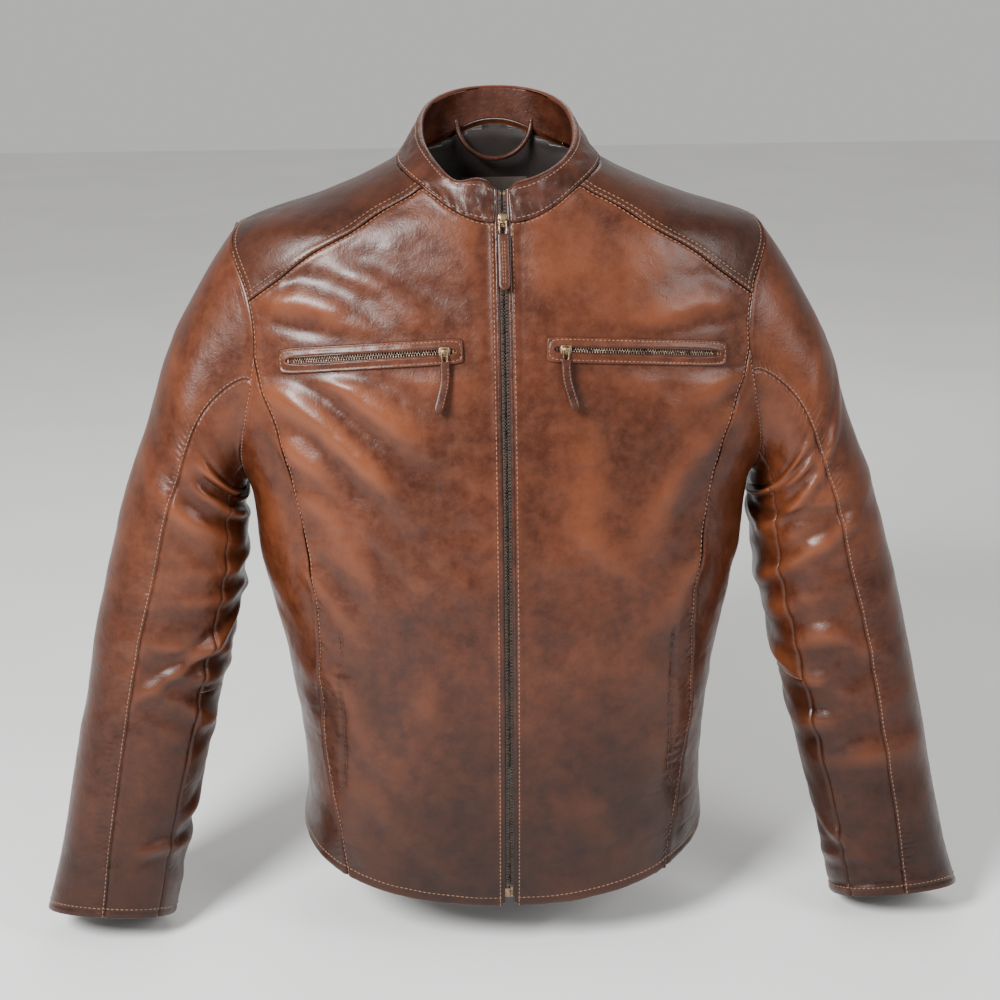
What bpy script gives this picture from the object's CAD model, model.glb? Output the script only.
import math

import bpy
import numpy as np
from mathutils import Matrix, Vector


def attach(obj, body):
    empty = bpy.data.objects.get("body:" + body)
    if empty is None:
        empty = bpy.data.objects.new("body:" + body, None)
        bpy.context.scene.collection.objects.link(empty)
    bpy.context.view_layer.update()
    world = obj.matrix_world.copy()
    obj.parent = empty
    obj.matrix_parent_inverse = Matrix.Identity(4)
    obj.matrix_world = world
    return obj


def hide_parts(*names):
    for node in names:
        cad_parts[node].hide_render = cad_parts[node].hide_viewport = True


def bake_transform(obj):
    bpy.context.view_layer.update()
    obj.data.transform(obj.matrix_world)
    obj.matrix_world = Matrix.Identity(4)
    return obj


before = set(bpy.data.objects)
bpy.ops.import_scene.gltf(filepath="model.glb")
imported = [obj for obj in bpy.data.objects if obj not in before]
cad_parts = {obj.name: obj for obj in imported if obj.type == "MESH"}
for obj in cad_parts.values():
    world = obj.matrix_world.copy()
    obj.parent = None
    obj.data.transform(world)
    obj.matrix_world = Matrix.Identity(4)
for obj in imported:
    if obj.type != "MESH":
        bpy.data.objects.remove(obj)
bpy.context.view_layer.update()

# Every shape function works in millimetres in the part's own frame; mesh() turns them into metres.
MM = 0.001
BODY = "jacket_body"
SEED = 11

# ---- Driving dimensions, taken over from the CAD model ----
# Two things differ: the seam lines stop short of the armhole, and the chest welts stand 0.7 off the chest
# instead of 0.9.
FRONT_RADIUS, FRONT_ARC_Y, FRONT_ARC_Z = 1255.0, 1099.0, -443.0
HEM_SIDE, HEM_DROP_FRONT, HEM_DROP_BACK = -631.0, 34.0, 10.0
TORSO_POWER = 2.4
LEATHER = 1.2
FRONT_EDGE = 6.5
NECK_RING = (87.0, 94.0, 68.0, 2.6)
COLLAR_RIM = (67.0, 85.0, 70.0, 2.4)
RING_CENTRE_Y = -8.0
ZIP_TOP_Z, ZIP_BOTTOM_Z, SLIDER_Z = -28.0, -655.0, -52.0
YOKE_SEAM = [(60, -22), (73, -31), (98, -44), (126, -61), (159, -79), (186, -99), (212, -121)]
PRINCESS_SEAM = [(206, -190), (192, -230), (183, -270), (175, -310), (167, -365), (165, -410), (166, -450),
                 (165, -500), (161, -540), (153, -590), (148, -630), (141, -690)]
BACK_SEAM = [(200, -220), (186, -290), (172, -370), (160, -450), (152, -540), (150, -690)]
CHAIN_HALF, TOOTH_PITCH, MAIN_CHAIN_DEPTH = 2.9, 2.9, 1.7
WELT_LIFT = 0.7
POCKET_INNER, POCKET_OUTER = (47.0, -154.5), (179.0, -165.0)
WELT_LENGTH, WELT_HEIGHT, CHEST_SLIDER_INSET = 158.0, 22.0, 9.0
CUFF, CUFF_TILT, SLEEVE_POWER = 12, 0.33, 2.25
ELBOW = 7.9                 # station along the sleeve, from 0 at the armhole to 12 at the cuff
BACK_SEAM_ANGLE = 250.0


# ---- Small mathematical helpers ----
def curve(knots):
    """Smooth function through (position, value) knots, extended in a straight line."""
    xs = np.array([k[0] for k in knots], float)
    ys = np.array([k[1] for k in knots], float)
    before = np.maximum(np.arange(len(xs)) - 1, 0)
    after = np.minimum(np.arange(len(xs)) + 1, len(xs) - 1)
    slopes = (ys[after] - ys[before]) / (xs[after] - xs[before])

    def value(x):
        x = np.asarray(x, float)
        i = np.clip(np.searchsorted(xs, x) - 1, 0, len(xs) - 2)
        h = xs[i + 1] - xs[i]
        t = np.clip((x - xs[i]) / h, 0, 1)
        y = ((2 * t**3 - 3 * t**2 + 1) * ys[i] + (t**3 - 2 * t**2 + t) * h * slopes[i]
             + (3 * t**2 - 2 * t**3) * ys[i + 1] + (t**3 - t**2) * h * slopes[i + 1])
        return y + slopes[0] * np.minimum(x - xs[0], 0) + slopes[-1] * np.maximum(x - xs[-1], 0)

    return value


def smooth(t):
    t = np.clip(t, 0, 1)
    return t * t * (3 - 2 * t)


def bell(d, width):
    return np.exp(-(d / width)**2)


def squareness(s, c, power):
    """Distance from the centre to a circle squared off by power, in direction (s, c)."""
    return (np.abs(s)**power + np.abs(c)**power)**(-1 / power)


def rounded(angle, power):
    a = np.radians(angle)
    s, c = np.sin(a), np.cos(a)
    r = squareness(s, c, power)
    return s * r, c * r


def unit(v):
    return v / np.maximum(np.linalg.norm(v, axis=-1, keepdims=True), 1e-9)


def mirrored(p, flip):
    """The same points on the wearer's right side, if asked."""
    return p * np.array([-1.0, 1.0, 1.0]) if flip else p


def lattice(ix, iy, iz, seed):
    """Repeatable pseudo-random value from -1 to 1 at each lattice point."""
    h = (ix * 374761393 + iy * 668265263 + iz * 1442695041 + seed * 1274126177) & 0xffffffff
    h = ((h ^ (h >> 13)) * 1274126177) & 0xffffffff
    return ((h ^ (h >> 16)) & 0xffff) / 32767.5 - 1


def noise(p, size, seed=0):
    """Smooth value noise at points p (..., 3); size is the cell in millimetres, one number or three."""
    q = p / np.asarray(size, float)
    i = np.floor(q).astype(np.int64)
    f = q - i
    f = f**3 * (f * (f * 6 - 15) + 10)
    total = 0
    for dx in (0, 1):
        for dy in (0, 1):
            for dz in (0, 1):
                w = (f[..., 0] if dx else 1 - f[..., 0]) * (f[..., 1] if dy else 1 - f[..., 1])
                w = w * (f[..., 2] if dz else 1 - f[..., 2])
                total = total + w * lattice(i[..., 0] + dx, i[..., 1] + dy, i[..., 2] + dz, SEED + seed)
    return total


def path(points):
    """Smooth curve through points, as a function of 0..1 along its length."""
    p = np.array(points, float)
    run = np.concatenate([[0], np.cumsum(np.linalg.norm(np.diff(p, axis=0), axis=1))])
    parts = [curve(list(zip(run / run[-1], p[:, k]))) for k in range(p.shape[1])]
    return (lambda t: np.stack([part(t) for part in parts], -1)), run[-1]


def chain(*paths):
    """Joins curves end to end, keeping the corners between them."""
    lengths = np.array([length for _, length in paths])
    ends = np.concatenate([[0], np.cumsum(lengths)]) / lengths.sum()

    def along(t):
        t = np.asarray(t, float)
        i = np.clip(np.searchsorted(ends, t, side="right") - 1, 0, len(paths) - 1)
        out = np.zeros(t.shape + (2,))
        for k, (line, _) in enumerate(paths):
            local = (t - ends[k]) / (ends[k + 1] - ends[k])
            out[i == k] = line(np.clip(local, 0, 1))[i == k]
        return out

    return along


# ---- Torso ----
half_width = curve([(-690, 191), (-640, 190), (-560, 186), (-455, 199), (-400, 209), (-350, 220), (-297, 226),
                    (-250, 245), (-180, 257), (-115, 252), (-66, 227), (-40, 150), (-11, 88), (20, 55)])
back_depth = curve([(-690, 104), (-560, 95), (-450, 97), (-330, 110), (-220, 117), (-130, 112), (-50, 92),
                    (20, 66)])


def front_depth(z):
    return np.sqrt(FRONT_RADIUS**2 - (z - FRONT_ARC_Z)**2) - FRONT_ARC_Y


def torso_depth(y, z):
    return np.where(y < 0, front_depth(z), back_depth(z))


def torso(angle, z):
    s, c = rounded(angle, TORSO_POWER)
    return np.stack([half_width(z) * s, -torso_depth(-c, z) * c, z + 0 * s], -1)


def torso_y(x, z, back):
    k = np.maximum(0.0, 1 - (np.abs(x) / half_width(z))**TORSO_POWER)**(1 / TORSO_POWER)
    return back_depth(z) * k if back else -front_depth(z) * k


def torso_x(y, z):
    inside = np.maximum(0.0, 1 - (np.abs(y) / torso_depth(y, z))**TORSO_POWER)
    return half_width(z) * inside**(1 / TORSO_POWER)


def torso_angle(x, y, z):
    return np.degrees(np.arctan2(x / half_width(z), -y / torso_depth(y, z)))


def torso_top(x, y):
    """Height of the shoulders at (x, y), found by halving."""
    low = np.full(np.shape(x), -120.0)
    high = np.full(np.shape(x), 60.0)
    for _ in range(40):
        z = (low + high) / 2
        inside = (np.abs(x) / half_width(z))**TORSO_POWER + (np.abs(y) / torso_depth(y, z))**TORSO_POWER < 1
        low = np.where(inside, z, low)
        high = np.where(inside, high, z)
    return low


def hem(angle):
    c = np.cos(np.radians(angle))
    return HEM_SIDE - np.where(c > 0, HEM_DROP_FRONT, HEM_DROP_BACK) * c * c


def ring(angle, size):
    half, front, back, power = size
    s, c = rounded(angle, power)
    reach = np.where(c > 0, front + RING_CENTRE_Y, back - RING_CENTRE_Y)
    return half * s, RING_CENTRE_Y - reach * c


def ring_angle(x, back):
    """Angle at which the collar seam is x from the mid-plane."""
    k = x / NECK_RING[0]
    c = (1 - k**NECK_RING[3])**(1 / NECK_RING[3])
    angle = math.degrees(math.atan2(k, c))
    return 180 - angle if back else angle


def neck_points(a0, a1, count=9):
    angles = np.linspace(a0, a1, count)
    x, y = ring(angles, NECK_RING)
    return np.stack([x, y, torso_top(x, y)], -1)


# ---- Armhole and sleeve ----
ARM_MIDDLE_Z, ARM_HALF_Z, ARM_FRONT, ARM_BACK = -180.0, 114.0, 84.0, 72.0


def armhole(angle):
    """Seam line of the left sleeve on the torso; angle 0 at the top, 90 in front, 180 in the armpit."""
    a = np.radians(angle)
    y = -np.where(np.sin(a) > 0, ARM_FRONT, ARM_BACK) * np.sin(a)
    z = ARM_MIDDLE_Z + ARM_HALF_Z * np.cos(a)
    return np.stack([torso_x(y, z), y, z], -1)


def armhole_angle(z, back=False):
    angle = math.degrees(math.acos((z - ARM_MIDDLE_Z) / ARM_HALF_Z))
    return 360 - angle if back else angle


OUTER_EDGE = [(226.4, -66), (252, -98), (275, -138), (295, -182), (314, -240), (337, -300), (354, -361),
              (368, -415), (381, -480), (394, -548), (408, -618), (418, -660), (427, -692)]
INNER_EDGE = [(228, -292), (229, -294), (230, -297), (230, -303), (230, -315), (231, -342), (234, -387),
              (246, -437), (261, -495), (278, -562), (295, -628), (304, -672), (311, -702)]
SLEEVE_DEPTH = [70, 73, 76, 78, 78, 76, 72, 67, 61, 55, 49, 46, 44]
SLEEVE_MIDDLE_Y = [0, 0, 0, -1, -3, -6, -11, -17, -26, -37, -49, -56, -61]
outer_x = curve([(i, p[0]) for i, p in enumerate(OUTER_EDGE)])
outer_z = curve([(i, p[1]) for i, p in enumerate(OUTER_EDGE)])
inner_x = curve([(i, p[0]) for i, p in enumerate(INNER_EDGE)])
inner_z = curve([(i, p[1]) for i, p in enumerate(INNER_EDGE)])
sleeve_depth = curve(list(enumerate(SLEEVE_DEPTH)))
sleeve_middle = curve(list(enumerate(SLEEVE_MIDDLE_Y)))
front_seam = curve([(0, 95), (2, 86), (4, 80), (8, 77), (12, 90)])
inner_seam = curve([(0, 140), (6, 136), (12, 140)])


def sleeve(angle, station):
    """Outer face of the left sleeve; it starts on the armhole seam."""
    s, c = rounded(angle, SLEEVE_POWER)
    x = (outer_x(station) + inner_x(station)) / 2 + (outer_x(station) - inner_x(station)) / 2 * c
    z = (outer_z(station) + inner_z(station)) / 2 + (outer_z(station) - inner_z(station)) / 2 * c
    forward = sleeve_depth(station) * s
    tube = np.stack([x, sleeve_middle(station) - forward, z + CUFF_TILT * (station / CUFF)**2 * forward], -1)
    start = smooth(station / 2.2)[..., None]
    return armhole(angle) * (1 - start) + tube * start


# ---- Folds ----
# Folds of the body: (x, z) points, half width, height. x is the wearer's left.
FRONT_FOLDS = [
    ([(-205, -150), (-150, -176), (-95, -215), (-52, -262)], 15, 2.6),
    ([(-208, -180), (-160, -215), (-110, -262), (-66, -320)], 17, 3.4),
    ([(-204, -214), (-164, -256), (-120, -312), (-84, -372)], 15, 3.0),
    ([(-190, -262), (-156, -300), (-124, -350), (-100, -410)], 14, 2.4),
    ([(-212, -122), (-170, -118), (-128, -128), (-84, -150)], 13, 2.2),
    ([(-150, -92), (-112, -104), (-76, -128), (-48, -160)], 14, 1.8),
    ([(-180, -340), (-150, -372), (-122, -430)], 12, 1.6),
    ([(-172, -430), (-140, -470), (-120, -530)], 16, 1.8),
    ([(-60, -420), (-80, -470), (-84, -540)], 20, 1.2),
    ([(204, -205), (166, -240), (128, -290), (104, -350)], 17, 1.9),
    ([(208, -172), (170, -196), (130, -232)], 15, 1.5),
    ([(206, -130), (168, -122), (130, -132), (92, -160)], 14, 1.4),
    ([(176, -330), (150, -370), (132, -430)], 14, 1.5),
    ([(60, -210), (66, -280), (60, -350)], 24, 1.0),
    ([(168, -470), (140, -520), (128, -580)], 18, 1.4),
    ([(40, -480), (60, -540), (56, -610)], 24, 0.9),
]
BACK_FOLDS = [
    ([(-205, -170), (-150, -210), (-90, -232), (-30, -240)], 18, 2.4),
    ([(205, -176), (150, -206), (96, -236), (40, -246)], 18, 2.2),
    ([(-200, -240), (-140, -290), (-80, -318)], 17, 2.2),
    ([(200, -236), (146, -286), (84, -322)], 17, 2.4),
    ([(-60, -90), (-64, -160), (-52, -230)], 22, 1.4),
    ([(66, -92), (70, -170), (56, -240)], 22, 1.4),
    ([(-150, -470), (-70, -488), (20, -480), (110, -492)], 16, 2.0),
    ([(-120, -520), (-20, -536), (90, -522), (150, -536)], 15, 1.8),
    ([(-160, -420), (-90, -440), (-10, -436)], 15, 1.4),
    ([(150, -440), (80, -452), (10, -446)], 15, 1.3),
]


def folds(p, lines):
    """Height of a set of fold ridges at (x, z) positions p (..., 2), with a hollow beside each ridge."""
    height = np.zeros(p.shape[:-1])
    for line, width, size in lines:
        points = np.array(line, float)
        best = np.full(p.shape[:-1], 1e9)
        where = np.zeros(p.shape[:-1])
        side = np.zeros(p.shape[:-1])
        steps = len(points) - 1
        for k in range(steps):
            a, b = points[k], points[k + 1]
            ab = b - a
            t = np.clip(((p - a) @ ab) / (ab @ ab), 0, 1)
            gap = p - (a + t[..., None] * ab)
            d = np.hypot(gap[..., 0], gap[..., 1])
            cross = ab[0] * gap[..., 1] - ab[1] * gap[..., 0]
            closer = d < best
            best = np.where(closer, d, best)
            where = np.where(closer, (k + t) / steps, where)
            side = np.where(closer, np.sign(cross), side)
        ends = smooth(where / 0.25) * smooth((1 - where) / 0.45)
        w = width * (0.75 + 0.5 * where)
        ridge = np.exp(-(best / w)**1.7) - 0.55 * np.exp(-((best - 1.55 * w) / (0.75 * w))**2)
        height += size * ends * ridge * (1 + 0.25 * side * np.tanh(best / w))
    return height


def pocket_mask(x, z):
    """1 on and near the chest pocket, where the leather lies flat round the zip."""
    t = (np.abs(x) - POCKET_INNER[0]) / (POCKET_OUTER[0] - POCKET_INNER[0])
    middle = POCKET_INNER[1] + (POCKET_OUTER[1] - POCKET_INNER[1]) * t
    across = smooth((26 - np.abs(z - middle)) / 14)
    return across * smooth((t + 0.26) / 0.12) * smooth((1.26 - t) / 0.12)


FOLD_DEPTH = 1.5            # scale of the folds drawn above
UNEVENNESS = ((1.6, 95, 1), (0.9, (60, 60, 30), 2), (0.36, 18, 3), (0.16, 8, 4))    # height, cell, seed
POCKET_FOOT, POCKET_HEAD, POCKET_X = -562, -398, 146    # reach of the hand pocket beside the princess seam
PUCKER_PITCH = 9.3
NECK_FADE_TOP, ARMHOLE_X = 8.0, 228


def body_relief(p):
    """Height of the leather over the plain torso shape: folds, sag and small unevenness."""
    x, y, z = p[..., 0], p[..., 1], p[..., 2]
    flat = np.stack([x, z], -1)
    front = smooth((-y + 6) / 50)
    height = FOLD_DEPTH * (front * folds(flat, FRONT_FOLDS) + (1 - front) * folds(flat, BACK_FOLDS))
    for size, cell, seed in UNEVENNESS:
        height += size * noise(p, cell, seed)
    diagonal = p @ np.array([[0.7, 0, 0.7], [0, 1, 0], [-0.7, 0, 0.7]])
    height += 0.8 * noise(diagonal, (70, 40, 17), 5) * smooth((-z - 120) / 150)
    height -= 0.30 * bell(noise(p, (34, 40, 24), 6), 0.16) * smooth((-z - 60) / 120)
    pocket = front * smooth((z - POCKET_FOOT) / 14) * smooth((POCKET_HEAD - z) / 12)
    puckers = np.cos(2 * math.pi * z / PUCKER_PITCH + 1.5 * noise(p, 20, 12))
    beside = np.abs(x) - POCKET_X
    height += pocket * (0.35 * puckers * bell(beside - 2, 5) - 1.3 * bell(beside, 1.8))
    zip_mask = front * smooth((34 - np.abs(x)) / 22)
    calm = 1 - np.maximum(zip_mask, front * pocket_mask(x, z))
    neck = smooth((NECK_FADE_TOP - z) / 26)
    arm = smooth(np.abs(np.abs(x) - ARMHOLE_X) / 8 + 0.35)
    return height * calm * neck * arm - 0.4 * (1 - calm)


DEEPEST_FOLD = 2.2          # sleeve folds stay clear of the lining
# Groups of creases: station along the sleeve, spread, how many, height.
SLEEVE_CREASES = ((4.2, 0.9, 7, 3.0), (6.0, 1.0, 6, 2.0), (7.9, 0.9, 8, 2.6), (10.2, 1.3, 6, 1.5))


def half_turn(angle, middle):
    """Signed angle from middle, between -180 and 180."""
    return (angle - middle + 180) % 360 - 180


def sleeve_relief(angle, station, p, side):
    """Folds of a sleeve: deep inside the armpit and the elbow, shallow along the outside."""
    seed = 40 if side > 0 else 60
    rng = np.random.default_rng(SEED + seed)
    inner = smooth((np.cos(np.radians(angle - 165)) + 0.35) / 1.0)
    height = np.zeros(np.shape(station * angle))
    for middle, spread_s, count, size in SLEEVE_CREASES:
        for _ in range(count):
            s0 = middle + rng.normal(0, spread_s * 0.6)
            a0 = 150 + rng.normal(0, 45)
            lean = rng.normal(0.0, 0.55)
            width = 0.13 + 0.1 * rng.random()
            reach = 38 + 40 * rng.random()
            h = size * (0.5 + 0.7 * rng.random()) * rng.choice([-1, 1], p=[0.35, 0.65])
            turn = half_turn(angle, a0)
            d = station - s0 - lean * turn / 60
            hollow = bell(np.abs(d) - 1.6 * width, 0.8 * width)
            ridge = np.exp(-(np.abs(d) / width)**1.6) - 0.5 * hollow
            height = height + h * ridge * bell(turn, reach)
    height = 1.35 * height * (0.35 + 0.65 * inner)
    for _ in range(7):
        s0 = rng.uniform(2.5, 11)
        a0 = rng.uniform(-40, 60)
        turn = half_turn(angle, a0)
        d = station - s0 - rng.normal(0.2, 0.9) * turn / 60
        height = height + rng.uniform(0.5, 1.1) * bell(d, 0.3) * bell(turn, 45)
    height = height + 1.1 * noise(p, 80, 7) + 0.5 * noise(p, (34, 40, 26), 8) + 0.2 * noise(p, 14, 9)
    height = height + 0.08 * noise(p, 7, 10)
    height = np.where(height < 0, DEEPEST_FOLD * np.tanh(height / DEEPEST_FOLD), height)
    return height * smooth(station / 1.2) * smooth((CUFF - station) / 0.5 + 0.25)


# ---- Grids and panels ----
def spaced(length, fine=1.1, coarse=3.2, band=11.0):
    """Parameters 0..1 over a length, close together near both ends."""
    steps = [0.0]
    while steps[-1] < length:
        d = min(steps[-1], max(length - steps[-1], 0))
        steps.append(steps[-1] + fine + (coarse - fine) * float(smooth(d / band)))
    grid = np.array(steps)
    return grid / grid[-1]


def even(length, step=2.2):
    return np.linspace(0, 1, max(4, int(length / step) + 1))


def coons(bottom, top, left, right, us, vs):
    """Fills the region between four curves; left and right run from bottom to top."""
    u = us[:, None, None]
    v = vs[None, :, None]
    b, t = bottom(us)[:, None], top(us)[:, None]
    lf, rt = left(vs)[None], right(vs)[None]
    corners = ((1 - u) * (1 - v) * b[:1] + u * (1 - v) * b[-1:] + (1 - u) * v * t[:1] + u * v * t[-1:])
    return (1 - v) * b + v * t + (1 - u) * lf + u * rt - corners


def grid_normals(p):
    along = np.gradient(p, axis=0)
    up = np.gradient(p, axis=1)
    return unit(np.cross(along, up))


def edge_distances(p):
    """Distances in the sheet from its four borders: start, end (first axis), low, high (second axis)."""
    du = np.linalg.norm(np.diff(p, axis=0), axis=-1)
    dv = np.linalg.norm(np.diff(p, axis=1), axis=-1)
    start = np.concatenate([np.zeros((1, p.shape[1])), np.cumsum(du, 0)], 0)
    low = np.concatenate([np.zeros((p.shape[0], 1)), np.cumsum(dv, 1)], 1)
    return {"start": start, "end": start[-1:] - start, "low": low, "high": low[:, -1:] - low}


def seam_shape(distance, run, style, seed):
    """Height change near a border. Styles: seam, lap, tuck, edge, plain."""
    if style == "plain":
        return 0 * distance
    wobble = noise(np.stack([run, 0 * run + seed * 31.0, 0 * run], -1), 14, seed)
    if style == "edge":
        return 0.5 * bell(distance - 2.5, 3.0) - 0.35 * bell(distance - 6.2, 0.9)
    height = -1.0 * bell(distance, 1.3) + 0.35 * bell(distance - 4, 3.2)
    if style == "lap":
        height = (0.75 * smooth((7.0 - distance) / 1.8) * (1 - bell(distance, 0.8))
                  - 0.3 * bell(distance - 3, 0.8))
    if style in ("seam", "tuck"):
        strength = 2.1 if style == "tuck" else 0.75
        phase = run / 5.6 + 1.1 * wobble + 0.10 * distance
        pleat = np.cos(2 * math.pi * phase) + 0.45 * np.cos(2 * math.pi * phase * 1.83 + 1.3)
        near = (1 - np.exp(-distance / 1.6)) * np.exp(-distance / (5.5 + 2 * wobble))
        height = height + strength * 0.55 * (pleat - 0.4) * near * (0.75 + 0.5 * wobble)
    return height


class Panel:
    """One leather or lining panel: base grid, borders, relief and finished outer face."""

    def __init__(self, base, relief=None, styles=None, flip=False, seed=1, depth=0.0):
        base = mirrored(base, flip)
        self.sign = -1.0 if flip else 1.0
        self.normal = grid_normals(base) * self.sign
        self.distance = edge_distances(base)
        height = np.zeros(base.shape[:2]) if relief is None else relief(base)
        styles = styles or {}
        for k, border in enumerate(("start", "end", "low", "high")):
            style = styles.get(border, "plain")
            run = self.distance["low" if border in ("start", "end") else "start"]
            height = height + seam_shape(self.distance[border], run, style, seed * 7 + k)
        self.height = height
        self.outer = base + self.normal * (height - depth)[..., None]
        self.face_normal = grid_normals(self.outer) * self.sign

    def border_line(self, border, inset):
        """Points and normals that run along a border at a distance inside it."""
        d = self.distance[border]
        grid, normal = self.outer, self.face_normal
        if border in ("low", "high"):
            d, grid, normal = d.T, grid.transpose(1, 0, 2), normal.transpose(1, 0, 2)
        points, normals = [], []
        for j in range(d.shape[1]):
            column = d[:, j]
            order = np.argsort(column)
            points.append([np.interp(inset, column[order], grid[order, j, k]) for k in range(3)])
            normals.append([np.interp(inset, column[order], normal[order, j, k]) for k in range(3)])
        return np.array(points), np.array(normals)


def thick_mesh(panel, thickness):
    """Closed sheet with rounded borders from a panel's outer face."""
    p, n = panel.outer.copy(), panel.face_normal
    nu, nv = p.shape[:2]
    for edge, inside in (((0,), (1,)), ((-1,), (-2,)), ((slice(None), 0), (slice(None), 1)),
                         ((slice(None), -1), (slice(None), -2))):
        gap = p[inside] - p[edge]
        length = np.maximum(np.linalg.norm(gap, axis=-1, keepdims=True), 1e-6)
        p[edge] += gap / length * np.minimum(0.30 * thickness, 0.6 * length)
    inner = p - n * thickness
    outer_ids = np.arange(nu * nv).reshape(nu, nv)
    inner_ids = outer_ids + nu * nv
    verts = [p.reshape(-1, 3), inner.reshape(-1, 3)]
    a, b, c, d = outer_ids[:-1, :-1], outer_ids[1:, :-1], outer_ids[1:, 1:], outer_ids[:-1, 1:]
    quads = [np.stack([a, b, c, d], -1).reshape(-1, 4)]
    a, b, c, d = inner_ids[:-1, :-1], inner_ids[:-1, 1:], inner_ids[1:, 1:], inner_ids[1:, :-1]
    quads.append(np.stack([a, b, c, d], -1).reshape(-1, 4))
    loop = np.concatenate([outer_ids[:-1, 0], outer_ids[-1, :-1], outer_ids[:0:-1, -1], outer_ids[0, :0:-1]])
    i, j = np.divmod(loop, nv)
    inward_i = np.clip(i, 1, nu - 2)
    inward_j = np.clip(j, 1, nv - 2)
    edge = p[i, j]
    normal = n[i, j]
    out = edge - p[inward_i, inward_j]
    out = out - (out * normal).sum(-1, keepdims=True) * normal
    out = unit(out)
    middle = edge - normal * thickness / 2
    rows = [loop]
    offset = 2 * nu * nv
    for angle in (45, 90, 135):
        a = math.radians(angle)
        rows.append(offset + np.arange(len(loop)))
        offset += len(loop)
        verts.append(middle + thickness / 2 * (math.cos(a) * normal + math.sin(a) * out))
    rows.append(loop + nu * nv)
    for low, high in zip(rows[:-1], rows[1:]):
        quads.append(np.stack([low, high, np.roll(high, -1), np.roll(low, -1)], -1))
    quads = np.concatenate(quads)
    if panel.sign < 0:
        quads = quads[:, ::-1]
    return np.concatenate(verts), quads


def add_object(name, data):
    made = bpy.data.objects.new(name, data)
    bpy.context.scene.collection.objects.link(made)
    return made


def mesh(name, verts, faces, material, body=BODY, slot=None, replaces=(), worn=0.5):
    """Makes a piece from millimetre vertices and faces, rides it on its body and names its slot."""
    data = bpy.data.meshes.new(name)
    verts = np.asarray(verts, float) * MM
    faces = np.asarray(faces)
    data.vertices.add(len(verts))
    data.vertices.foreach_set("co", verts.astype(np.float32).ravel())
    size = faces.shape[1]
    data.loops.add(faces.size)
    data.loops.foreach_set("vertex_index", faces.astype(np.int32).ravel())
    data.polygons.add(len(faces))
    data.polygons.foreach_set("loop_start", np.arange(0, faces.size, size, dtype=np.int32))
    data.polygons.foreach_set("loop_total", np.full(len(faces), size, dtype=np.int32))
    data.polygons.foreach_set("use_smooth", np.full(len(faces), True))
    data.update(calc_edges=True)
    data.validate()
    data.materials.append(material)
    layer = data.attributes.new("worn", "FLOAT", "POINT")
    layer.data.foreach_set("value", np.full(len(verts), worn, np.float32))
    piece = add_object(name, data)
    if isinstance(body, tuple):
        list(body[:2])
        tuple(body[2])
        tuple(body[3])
        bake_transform(piece)
    else:
        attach(piece, body)
    if replaces:
        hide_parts(*replaces)
    return piece


# ---- Materials ----
# The frame's own materials hold most of these names, so Blender adds a suffix; this keeps the name asked for.
NAMES_ASKED = {}


def new_material(name):
    material = bpy.data.materials.new(name)
    NAMES_ASKED[material.name] = name
    material.use_nodes = True
    tree = material.node_tree
    shader = tree.nodes["Principled BSDF"]

    def node(kind, inputs=None, **settings):
        made = tree.nodes.new(kind)
        for key, value in settings.items():
            setattr(made, key, value)
        for key, value in (inputs or {}).items():
            if isinstance(value, bpy.types.NodeSocket):
                tree.links.new(value, made.inputs[key])
            else:
                made.inputs[key].default_value = value
        return made

    def to_shader(key, socket):
        tree.links.new(socket, shader.inputs[key])

    coords = node("ShaderNodeTexCoord").outputs["Object"]
    return material, shader, node, to_shader, coords


def ramp(node, socket, stops):
    made = node("ShaderNodeValToRGB", {"Fac": socket})
    elements = made.color_ramp.elements
    while len(elements) < len(stops):
        elements.new(0.5)
    for element, (at, colour) in zip(elements, stops):
        element.position = at
        element.color = (*colour, 1)
    return made.outputs["Color"]


def mixed(node, kind, fac, a, b):
    made = node("ShaderNodeMix", data_type="RGBA", blend_type=kind)
    for socket, value in ((made.inputs[0], fac), (made.inputs[6], a), (made.inputs[7], b)):
        if isinstance(value, bpy.types.NodeSocket):
            made.id_data.links.new(value, socket)
        else:
            socket.default_value = value
    return made.outputs[2]


BURNISH_LOW = -0.56         # the leather is rubbed darker towards the hem and the cuffs, between these levels
BURNISH_HIGH = -0.26


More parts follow.
